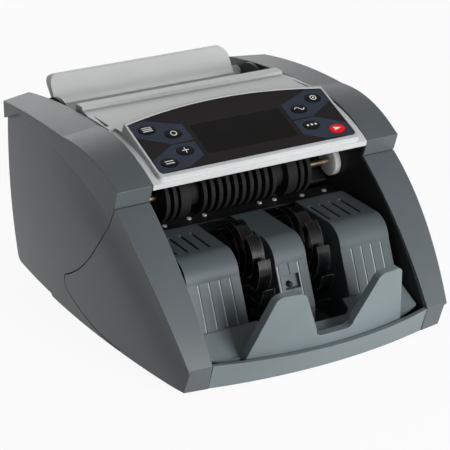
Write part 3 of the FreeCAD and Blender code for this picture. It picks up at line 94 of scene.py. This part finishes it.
class Shader:
    """A Principled material whose surface detail comes from noise in object space."""

    def __init__(self, name, colour, roughness, **sockets):
        self.material = bpy.data.materials.new(name)
        self.material.use_nodes = True
        self.tree = self.material.node_tree
        self.shader = self.tree.nodes["Principled BSDF"]
        self.shader.inputs["Base Color"].default_value = colour
        self.shader.inputs["Roughness"].default_value = roughness
        for socket, value in sockets.items():
            self.shader.inputs[socket.replace("_", " ")].default_value = value
        self.colour = colour
        self.place = self.add("ShaderNodeTexCoord").outputs["Object"]

    def add(self, kind, **settings):
        made = self.tree.nodes.new(kind)
        for name, value in settings.items():
            setattr(made, name, value)
        return made

    def link(self, source, target):
        self.tree.links.new(source, target)

    def noise(self, scale, detail=2.0, stretch=(1, 1, 1)):
        """Noise with features of about 1 / scale metres, stretched along an axis."""
        mapping = self.add("ShaderNodeMapping")
        mapping.inputs["Scale"].default_value = stretch
        self.link(self.place, mapping.inputs["Vector"])
        texture = self.add("ShaderNodeTexNoise")
        texture.inputs["Scale"].default_value = scale
        texture.inputs["Detail"].default_value = detail
        self.link(mapping.outputs["Vector"], texture.inputs["Vector"])
        return texture.outputs["Fac"]

    def between(self, source, low, high, start=0.3, end=0.7):
        """The source's middle span, or the given one, mapped to low and high."""
        return ranged(self.tree, source, start, end, low, high)

    def mix(self, factor, first, second):
        mixer = self.add("ShaderNodeMix", data_type="RGBA")
        self.link(factor, mixer.inputs["Factor"])
        for socket, value in (("A", first), ("B", second)):
            target = [item for item in mixer.inputs if item.name == socket and item.type == "RGBA"][0]
            if isinstance(value, tuple):
                target.default_value = value
            else:
                self.link(value, target)
        return [item for item in mixer.outputs if item.type == "RGBA"][0]

    def mottle(self, source, spread):
        """Base colour that drifts a little darker and lighter with the source."""
        dark = tuple(channel * (1 - spread) for channel in self.colour[:3]) + (1,)
        light = tuple(min(channel * (1 + spread), 1) for channel in self.colour[:3]) + (1,)
        return self.mix(self.between(source, 0, 1), dark, light)

    def edge(self, radius):
        """Rounded normal, and a mask that is 1 along the piece's edges."""
        bevel = self.add("ShaderNodeBevel", samples=4)
        bevel.inputs["Radius"].default_value = radius
        plain = self.add("ShaderNodeNewGeometry").outputs["Normal"]
        dot = self.add("ShaderNodeVectorMath", operation="DOT_PRODUCT")
        self.link(bevel.outputs["Normal"], dot.inputs[0])
        self.link(plain, dot.inputs[1])
        return bevel.outputs["Normal"], self.between(dot.outputs["Value"], 1, 0, start=0.8, end=0.99)

    def bump(self, source, distance, normal=None, strength=0.5):
        made = self.add("ShaderNodeBump")
        made.inputs["Strength"].default_value = strength
        made.inputs["Distance"].default_value = distance
        self.link(source, made.inputs["Height"])
        if normal is not None:
            self.link(normal, made.inputs["Normal"])
        self.link(made.outputs["Normal"], self.shader.inputs["Normal"])


def plastic(name, colour, roughness=0.48, grain=1400, round_edge=0.9, edge_wear_and_highlight=0.22, drift=0.05, edge_highlight_gain=1.5):
    """Moulded plastic: fine spark texture, slow colour drift, and edges painted lighter, partly as wear and
    partly as a painted highlight.
    """
    made = Shader(name, colour, roughness, IOR=1.5, Specular_IOR_Level=0.3)
    spark = made.noise(grain, detail=3)
    slow = made.noise(22)
    base = made.mottle(slow, drift)
    normal, edge = made.edge(round_edge * MM)
    # Painted highlight: the edge mask lightens the colour, standing partly for worn edges and partly for
    # edge highlights.
    worn_highlight = tuple(min(channel * edge_highlight_gain + 0.01, 1) for channel in colour[:3]) + (1,)
    edge_lightened = made.mix(made.between(edge, 0, edge_wear_and_highlight, start=0, end=1), base, worn_highlight)
    made.link(edge_lightened, made.shader.inputs["Base Color"])
    made.link(made.between(spark, roughness - 0.06, roughness + 0.08), made.shader.inputs["Roughness"])
    made.bump(spark, 0.05 * MM, normal)
    return made.material


def nylon(name, colour):
    """Milky plastic that carries light from its lit side into its shaded face."""
    made = Shader(name, colour, 0.4, IOR=1.5, Subsurface_Weight=0.85, Subsurface_Scale=0.012,
                  Subsurface_Radius=(1, 1, 1))
    cloud = made.noise(180, detail=3)
    made.link(made.mottle(cloud, 0.03), made.shader.inputs["Base Color"])
    made.link(made.between(cloud, 0.34, 0.5), made.shader.inputs["Roughness"])
    normal, _ = made.edge(0.4 * MM)
    made.bump(cloud, 0.03 * MM, normal)
    return made.material


def rubber(name, colour, roughness=0.72):
    """Matt rubber with dust in its pores."""
    made = Shader(name, colour, roughness, IOR=1.45, Specular_IOR_Level=0.25)
    pores = made.noise(900, detail=4)
    dust = made.noise(60, detail=3)
    base = made.mottle(dust, 0.18)
    normal, edge = made.edge(0.35 * MM)
    pale = tuple(min(channel * 2.2 + 0.01, 1) for channel in colour[:3]) + (1,)
    dusty = made.mix(made.between(edge, 0, 0.3, start=0, end=1), base, pale)
    made.link(dusty, made.shader.inputs["Base Color"])
    made.link(made.between(pores, roughness - 0.1, roughness + 0.1), made.shader.inputs["Roughness"])
    made.bump(pores, 0.06 * MM, normal)
    return made.material


def metal(name, colour, roughness=0.28, stretch=(1, 30, 30)):
    """Turned metal with fine marks around its axis."""
    made = Shader(name, colour, roughness, Metallic=1.0)
    marks = made.noise(120, detail=3, stretch=stretch)
    made.link(made.mottle(made.noise(40), 0.08), made.shader.inputs["Base Color"])
    made.link(made.between(marks, roughness - 0.08, roughness + 0.12), made.shader.inputs["Roughness"])
    normal, _ = made.edge(0.3 * MM)
    made.bump(marks, 0.02 * MM, normal, 0.3)
    return made.material


def gloss(name, colour, roughness=0.16, drift=0.12, shine=0.5):
    """Smooth film or polished plastic with faint handling smears."""
    made = Shader(name, colour, roughness, IOR=1.5, Specular_IOR_Level=shine)
    smear = made.noise(35, detail=4, stretch=(1, 3, 1))
    made.link(made.mottle(smear, drift), made.shader.inputs["Base Color"])
    made.link(made.between(smear, roughness, roughness + 0.1), made.shader.inputs["Roughness"])
    normal, _ = made.edge(0.3 * MM)
    made.bump(made.noise(300), 0.01 * MM, normal, 0.2)
    return made.material


def wheel_plastic(name):
    """Polished black blades with fine lengthwise streaks, and edges painted pale as a highlight."""
    made = Shader(name, tone(12, 12, 13), 0.2, IOR=1.5, Specular_IOR_Level=0.3)
    streaks = made.noise(30, detail=3, stretch=(40, 1, 1))
    lined = made.mix(made.between(streaks, 0, 1, start=0.58, end=0.75), tone(8, 8, 9), tone(26, 26, 28))
    normal, edge = made.edge(0.4 * MM)
    # Painted highlight: the blade edges are painted pale grey.
    made.link(made.mix(made.between(edge, 0, 0.85, start=0, end=1), lined, tone(150, 152, 155)),
              made.shader.inputs["Base Color"])
    made.link(made.between(streaks, 0.14, 0.3), made.shader.inputs["Roughness"])
    made.bump(streaks, 0.15 * MM, normal, 0.5)
    return made.material


# Rear edge of the painted shade on the chute's front end, as y in millimetres
PAINTED_SHADE_REAR = 70


def chute_with_painted_shade(name, colour):
    """Light plastic whose front end, under the rollers, is painted near black and rougher as shade."""
    made = Shader(name, colour, 0.45, IOR=1.5)
    grain = made.noise(900, detail=3)
    parts = made.add("ShaderNodeSeparateXYZ")
    made.link(made.place, parts.inputs["Vector"])
    # Painted shade: in front of this y the chute is painted near black where it lies in shade under the
    # rollers.
    rear = made.between(parts.outputs["Y"], 0, 1, start=PAINTED_SHADE_REAR * MM, end=(PAINTED_SHADE_REAR + 1) * MM)
    pale = made.mottle(made.noise(22), 0.03)
    made.link(made.mix(rear, tone(22, 22, 23), pale), made.shader.inputs["Base Color"])
    made.link(made.between(rear, 0.75, 0.45, start=0, end=1), made.shader.inputs["Roughness"])
    normal, _ = made.edge(0.4 * MM)
    made.bump(grain, 0.06 * MM, normal)
    return made.material


def board(name):
    """Green solder mask with paler copper runs under it."""
    made = Shader(name, tone(16, 74, 42), 0.35, IOR=1.5)
    runs = made.noise(240, detail=0, stretch=(1, 6, 1))
    copper = made.between(runs, 0, 1, start=0.55, end=0.57)
    made.link(made.mix(copper, tone(16, 74, 42), tone(46, 112, 62)), made.shader.inputs["Base Color"])
    made.bump(runs, 0.03 * MM)
    return made.material


MATERIALS = {
    # Painted highlight: the shell and block plastics lighten their edges strongly, mostly as a painted
    # highlight and a little as wear.
    "shell_grey": plastic("cheek plastic", tone(83, 89, 92), 0.4, drift=0.04, edge_wear_and_highlight=0.7, edge_highlight_gain=2.0),
    "base_grey": plastic("base plastic", tone(108, 118, 121), 0.42, drift=0.04, edge_wear_and_highlight=0.5),
    "block_grey": plastic("block plastic", tone(76, 84, 88), 0.42, round_edge=0.6, edge_wear_and_highlight=0.9, edge_highlight_gain=2.6),
    "cover_grey": plastic("cover plastic", tone(198, 200, 200), 0.42, drift=0.025, edge_wear_and_highlight=0.3),
    "chute_grey": chute_with_painted_shade("chute plastic", tone(198, 200, 200)),
    # Painted light: the hopper plate takes the cover's plastic painted lighter, as if more brightly lit.
    "plate_painted_lighter": plastic("plate plastic", tone(229, 231, 230), 0.45, drift=0.025, edge_wear_and_highlight=0.3),
    "console_grey": plastic("console plastic", tone(192, 195, 195), 0.42, drift=0.025, edge_wear_and_highlight=0.35),
    "overlay_black": gloss("overlay film", tone(32, 29, 30), 0.5, shine=0.1),
    "window_dark": gloss("window", tone(14, 12, 11), 0.35, shine=0.12),
    "key_black": gloss("black key", tone(14, 14, 17), 0.5, shine=0.15),
    "key_red": gloss("red key", tone(226, 20, 30), 0.45, drift=0.06, shine=0.2),
    "guide_black": plastic("guide plastic", tone(27, 27, 29), 0.5, edge_wear_and_highlight=0.35),
    "frame_metal": plastic("frame paint", tone(20, 20, 21), 0.6, grain=700, edge_wear_and_highlight=0.2, drift=0.12),
    "back_metal": plastic("back paint", tone(88, 92, 94), 0.5, grain=900),
    "shaft_steel": metal("shaft steel", tone(196, 178, 150)),
    "roller_rubber": rubber("roller rubber", tone(24, 23, 23)),
    "wheel_black": wheel_plastic("wheel plastic"),
    "bush_white": nylon("white bush", tone(236, 237, 239)),
    "bush_dark": metal("bush bronze", tone(150, 122, 76), 0.4),
    "pulley_aluminium": metal("pulley aluminium", tone(196, 198, 202), 0.3),
    "belt_rubber": rubber("belt rubber", tone(24, 24, 24)),
    "motor_metal": metal("motor can", tone(150, 152, 155), 0.42, stretch=(30, 1, 1)),
    "board_green": board("board"),
    # Painted highlight: the sensor dots are painted near white as glints.
    "sensor_dark": gloss("sensor glint painted", tone(206, 208, 212), 0.12),
    "inlet_black": plastic("inlet plastic", tone(22, 22, 23), 0.5),
    "foot_rubber": rubber("foot rubber", tone(30, 30, 30)),
    "screw_steel": metal("screw steel", tone(168, 168, 170), 0.3, stretch=(1, 1, 30)),
}


def dress_nodes():
    slots = {entry["node"]: entry["material_slot"] for entry in frame["record"]["subparts"]}
    finer = {"hopper_plate": "plate_painted_lighter", "hopper_floor": "chute_grey", "pocket_sensor": "inlet_black"}
    for name, obj in frame["nodes"].items():
        obj.data.materials.clear()
        obj.data.materials.append(MATERIALS[finer.get(name, slots[name])])


# Overlay print: a darker film with four blue zones around the keys
ZONES = {
    "upper": [(-91, 59), (-75, 60.6), (-46.6, 48.9), (-46, 30.3), (-66, 29.6), (-91, 43.6)],
    "lower": [(-66.3, 29), (-46.4, 28.2), (-46.5, 11.5), (-63.7, 2.4), (-91, 0.4), (-90.1, 15.7)],
}
ZONE_HOLES = {"upper": ("key_1", "key_2"), "lower": ("key_3", "key_4")}
FILM = 0.06
RING_STEPS = 40


def ring():
    """Cosine and sine of evenly spaced angles, once around."""
    angles = [math.tau * step / RING_STEPS for step in range(RING_STEPS)]
    return [(math.cos(angle), math.sin(angle)) for angle in angles]


def loop(shape, points):
    corners = [shape.verts.new(point) for point in points]
    return [shape.edges.new(pair) for pair in zip(corners, corners[1:] + corners[:1])]


def zone_mesh(outline, holes, sign):
    def make(shape):
        lines = loop(shape, [on_panel(-sign * x, along, FILM) for x, along in outline])
        for key in holes:
            x, along = KEY_PLACES[key]
            long = KEY_LONG + KEY_GAP
            short = KEY_SHORT + KEY_GAP
            lines += loop(shape, [on_panel(sign * x + long * c, along + short * s, FILM) for c, s in ring()])
        bmesh.ops.triangle_fill(shape, edges=lines, use_beauty=True)
        shape.normal_update()
        bmesh.ops.reverse_faces(shape, faces=[face for face in shape.faces if face.normal.z < 0])
    return make


def add_zones():
    film = gloss("zone film", tone(46, 53, 66), 0.5, shine=0.15)
    for side, sign in (("left", -1), ("right", 1)):
        for row, outline in ZONES.items():
            shape_maker = zone_mesh(outline, ZONE_HOLES[row], sign)
            piece(f"{side}_{row}_zone", shape_maker, film, "machine")


# Ribs: a thin bead beside each groove of the stacker blocks, painted light as a highlight, as x of the
# grooves
RIBS = {
    "left_block_ribs": (-84.25, -74.75, -65.25, -55.75),
    "centre_block_ribs": (-12.5, 6.5),
    "right_block_ribs": (57.75, 67.25, 76.75, 86.25),
}
RIB_TOP = Vector((0, -93.5, 71))
RIB_FOOT = Vector((0, -107.6, 36))
RIB_SHIFT = -0.8
RIB_WIDTH = 1.0
RIB_PROUD = 0.4
RIB_SINK = 0.03
RIB_ROWS = 16
RIB_SIDES = 6
RIB_TAPER = 0.25


def rib_mesh(places):
    along = RIB_FOOT - RIB_TOP
    out = Vector((0, along.z, -along.y)).normalized()

    def make(shape):
        for place in places:
            grid = []
            for row in range(RIB_ROWS + 1):
                share = row / RIB_ROWS
                height = RIB_PROUD * min(1, share / RIB_TAPER, (1 - share) / RIB_TAPER)
                line = []
                for side in range(RIB_SIDES + 1):
                    angle = math.pi * side / RIB_SIDES
                    across = place + RIB_SHIFT + RIB_WIDTH / 2 * math.cos(angle)
                    point = RIB_TOP + along * share + out * (height * math.sin(angle) - RIB_SINK)
                    line.append(shape.verts.new((point + Vector((across, 0, 0))) * MM))
                grid.append(line)
            for upper, lower in zip(grid, grid[1:]):
                for side in range(RIB_SIDES):
                    shape.faces.new((upper[side], upper[side + 1], lower[side + 1], lower[side]))
    return make


def add_ribs():
    # Painted highlight: the beads are painted much lighter than the blocks.
    worn_highlight = plastic("rib painted highlight", tone(150, 159, 162), 0.36, round_edge=0.2)
    for name, places in RIBS.items():
        piece(name, rib_mesh(places), worn_highlight, "machine")


# Keys: a low dome over each cap, with a plain stroke mark
DOME = 0.35
DOME_RINGS = 8
DOME_REACH = 0.99


def dome_height(x, y):
    return KEY_PROUD + DOME * max(0, 1 - (x / KEY_LONG) ** 2 - (y / KEY_SHORT) ** 2)


def dome_mesh(key_x, key_along):
    def make(shape):
        rows = []
        for index in range(1, DOME_RINGS + 1):
            share = DOME_REACH * index / DOME_RINGS
            row = []
            for c, s in ring():
                x = KEY_LONG * share * c
                y = KEY_SHORT * share * s
                row.append(shape.verts.new(on_panel(key_x + x, key_along + y, dome_height(x, y))))
            rows.append(row)
        top = shape.verts.new(on_panel(key_x, key_along, dome_height(0, 0)))
        for step in range(RING_STEPS):
            after = (step + 1) % RING_STEPS
            shape.faces.new((top, rows[0][step], rows[0][after]))
            for inner, outer in zip(rows, rows[1:]):
                shape.faces.new((inner[step], outer[step], outer[after], inner[after]))
    return make


STROKE = 0.75
WAVE_HALF = 3.4
WAVE_HEIGHT = 1.3


def bar(x0, y0, x1, y1):
    count = 6
    points = [(x0 + (x1 - x0) * step / count, y0 + (y1 - y0) * step / count) for step in range(count + 1)]
    return points, [STROKE] * len(points)


def circle(radius, width=STROKE, x=0.0):
    count = 24
    angles = [math.tau * step / count for step in range(count + 1)]
    points = [(x + radius * math.cos(angle), radius * math.sin(angle)) for angle in angles]
    return points, [width] * len(points)


def taper(x0, x1, width):
    """Filled triangle that points from x0 to x1."""
    count = 8
    points = [(x0 + (x1 - x0) * step / count, 0) for step in range(count + 1)]
    return points, [width * (1 - step / count) for step in range(count + 1)]


def wave():
    count = 20
    shares = [step / count for step in range(count + 1)]
    points = [(WAVE_HALF * (2 * share - 1), WAVE_HEIGHT * math.sin(math.tau * share)) for share in shares]
    return points, [STROKE] * len(points)


MARK_SCALE = 1.35
MARKS = {
    "left_key_1": [bar(-3.2, 1.5, 3.2, 1.5), bar(-3.2, 0, 3.2, 0), bar(-3.2, -1.5, 3.2, -1.5)],
    "left_key_2": [circle(1.8)],
    "left_key_3": [bar(-2.2, 0, 2.2, 0), bar(0, -2.2, 0, 2.2)],
    "left_key_4": [bar(-2.8, 0.9, 2.8, 0.9), bar(-2.8, -0.9, 2.8, -0.9)],
    "right_key_1": [circle(1.9), circle(0.4, 0.8)],
    "right_key_2": [wave()],
    "right_key_3": [circle(0.45, 0.9, x=offset) for offset in (-2.8, 0, 2.8)],
    "right_key_4": [taper(-2.2, 3.0, 4.4)],
}
INK = 0.06
JOIN = 0.001


def mark_mesh(key_x, key_along, strokes):
    def make(shape):
        for points, widths in strokes:
            sides = []
            for index, ((x, y), width) in enumerate(zip(points, widths)):
                before = points[max(index - 1, 0)]
                after = points[min(index + 1, len(points) - 1)]
                run = math.dist(before, after)
                across = ((before[1] - after[1]) / run * width / 2, (after[0] - before[0]) / run * width / 2)
                pair = []
                for sign in (-1, 1):
                    px = MARK_SCALE * x + sign * across[0]
                    py = MARK_SCALE * y + sign * across[1]
                    out = dome_height(px, py) + INK
                    pair.append(shape.verts.new(on_panel(key_x + px, key_along + py, out)))
                sides.append(pair)
            for (a, b), (c, d) in zip(sides, sides[1:]):
                shape.faces.new((a, c, d, b))
        bmesh.ops.remove_doubles(shape, verts=shape.verts, dist=JOIN * MM)
    return make


def add_keys():
    ink = gloss("key ink", tone(240, 240, 240), 0.5, drift=0.03)
    for side, sign in (("left", -1), ("right", 1)):
        for key, (x, along) in KEY_PLACES.items():
            name = f"{side}_{key}"
            slot = "key_red" if name == "right_key_4" else "key_black"
            body = name + "_cap"
            piece(name + "_dome", dome_mesh(sign * x, along), MATERIALS[slot], body)
            piece(name + "_mark", mark_mesh(sign * x, along, MARKS[name]), ink, body)


# Studio: pale floor, soft lights and the camera at the photograph's angle
CAMERA_PLACE = Vector((-722.77, -1201.03, 646.79)) * MM
CAMERA_BACK = Vector((-0.4746, -0.7935, 0.3807))
CAMERA_LENS = 146.497
SENSOR = 36
# Each light's place, target, power and size, in metres and watts
LIGHTS = {
    "rear light": ((0.4, 1.5, 0.95), (0, 0, 0.08), 8, 1.2),
    "front light": ((0.15, -1.0, 0.16), (0, -0.1, 0.06), 9, 0.5),
    "hopper light": ((0.25, -1.4, 0.8), (0, 0.1, 0.15), 7, 0.4),
}
FLOOR_HALF = 60
FLOOR_PAPER = (0.86, 0.86, 0.86, 1)
FLOOR_GLOW = 0.93


def add_camera():
    camera = bpy.data.objects.new("camera", bpy.data.cameras.new("camera"))
    bpy.context.scene.collection.objects.link(camera)
    camera.data.sensor_width = SENSOR
    camera.data.lens = CAMERA_LENS
    camera.location = CAMERA_PLACE
    camera.rotation_euler = (-CAMERA_BACK).to_track_quat("-Z", "Y").to_euler()
    bpy.context.scene.camera = camera


def add_light(name, place, target, power, size):
    lamp = bpy.data.lights.new(name, "AREA")
    lamp.energy = power
    lamp.size = size
    obj = bpy.data.objects.new(name, lamp)
    bpy.context.scene.collection.objects.link(obj)
    obj.location = place
    obj.rotation_euler = (Vector(target) - Vector(place)).to_track_quat("-Z", "Y").to_euler()


def seen_directly(tree):
    """1 for rays that show the background: from the camera, a mirror or a clear piece."""
    path = tree.nodes.new("ShaderNodeLightPath")
    total = path.outputs["Is Camera Ray"]
    for kind in ("Is Glossy Ray", "Is Transmission Ray"):
        joined = tree.nodes.new("ShaderNodeMath")
        joined.operation = "MAXIMUM"
        tree.links.new(total, joined.inputs[0])
        tree.links.new(path.outputs[kind], joined.inputs[1])
        total = joined.outputs["Value"]
    return total


def add_floor():
    """Pale paper that shows nearly white and still takes the shadow."""
    mesh = bpy.data.meshes.new("floor")
    shape = bmesh.new()
    bmesh.ops.create_grid(shape, x_segments=1, y_segments=1, size=FLOOR_HALF)
    shape.to_mesh(mesh)
    shape.free()
    floor = bpy.data.objects.new("floor", mesh)
    bpy.context.scene.collection.objects.link(floor)
    material = bpy.data.materials.new("floor paper")
    material.use_nodes = True
    tree = material.node_tree
    paper = tree.nodes["Principled BSDF"]
    paper.inputs["Base Color"].default_value = FLOOR_PAPER
    paper.inputs["Roughness"].default_value = 0.9
    paper.inputs["Specular IOR Level"].default_value = 0
    glow = tree.nodes.new("ShaderNodeEmission")
    share = tree.nodes.new("ShaderNodeMath")
    share.operation = "MULTIPLY"
    share.inputs[1].default_value = FLOOR_GLOW
    tree.links.new(seen_directly(tree), share.inputs[0])
    mixed = tree.nodes.new("ShaderNodeMixShader")
    tree.links.new(share.outputs["Value"], mixed.inputs[0])
    tree.links.new(paper.outputs["BSDF"], mixed.inputs[1])
    tree.links.new(glow.outputs["Emission"], mixed.inputs[2])
    tree.links.new(mixed.outputs["Shader"], tree.nodes["Material Output"].inputs["Surface"])
    mesh.materials.append(material)


# World: heights where the wall ends and the ceiling starts, then strengths of wall and ceiling
WALL_TOP = 0.3
CEILING = 0.75
WORLD_LIGHT = (0.62, 0.12)
WORLD_SEEN = (1.0, 0.3)
# A flag that shades the light from the left, along x
FLAG_START = 0.0
FLAG_END = -0.7
FLAG_SHADE = 0.35


def add_world():
    """Studio walls that are bright at the horizon and dim overhead."""
    world = bpy.data.worlds.new("studio")
    bpy.context.scene.world = world
    world.use_nodes = True
    tree = world.node_tree
    sky = tree.nodes["Background"]
    sky.inputs["Color"].default_value = (1, 1, 1, 1)
    parts = tree.nodes.new("ShaderNodeSeparateXYZ")
    tree.links.new(tree.nodes.new("ShaderNodeTexCoord").outputs["Generated"], parts.inputs["Vector"])
    light = ranged(tree, parts.outputs["Z"], WALL_TOP, CEILING, *WORLD_LIGHT)
    seen = ranged(tree, parts.outputs["Z"], WALL_TOP, CEILING, *WORLD_SEEN)
    flag = ranged(tree, parts.outputs["X"], FLAG_END, FLAG_START, FLAG_SHADE, 1)
    shaded = tree.nodes.new("ShaderNodeMath")
    shaded.operation = "MULTIPLY"
    tree.links.new(light, shaded.inputs[0])
    tree.links.new(flag, shaded.inputs[1])
    strength = tree.nodes.new("ShaderNodeMix")
    tree.links.new(seen_directly(tree), strength.inputs["Factor"])
    tree.links.new(shaded.outputs["Value"], strength.inputs["A"])
    tree.links.new(seen, strength.inputs["B"])
    tree.links.new(strength.outputs["Result"], sky.inputs["Strength"])


def add_studio():
    add_camera()
    add_floor()
    add_world()
    for name, settings in LIGHTS.items():
        add_light(name, *settings)
    bpy.context.scene.view_settings.view_transform = "Standard"


dress_nodes()
add_zones()
add_ribs()
add_keys()
add_studio()
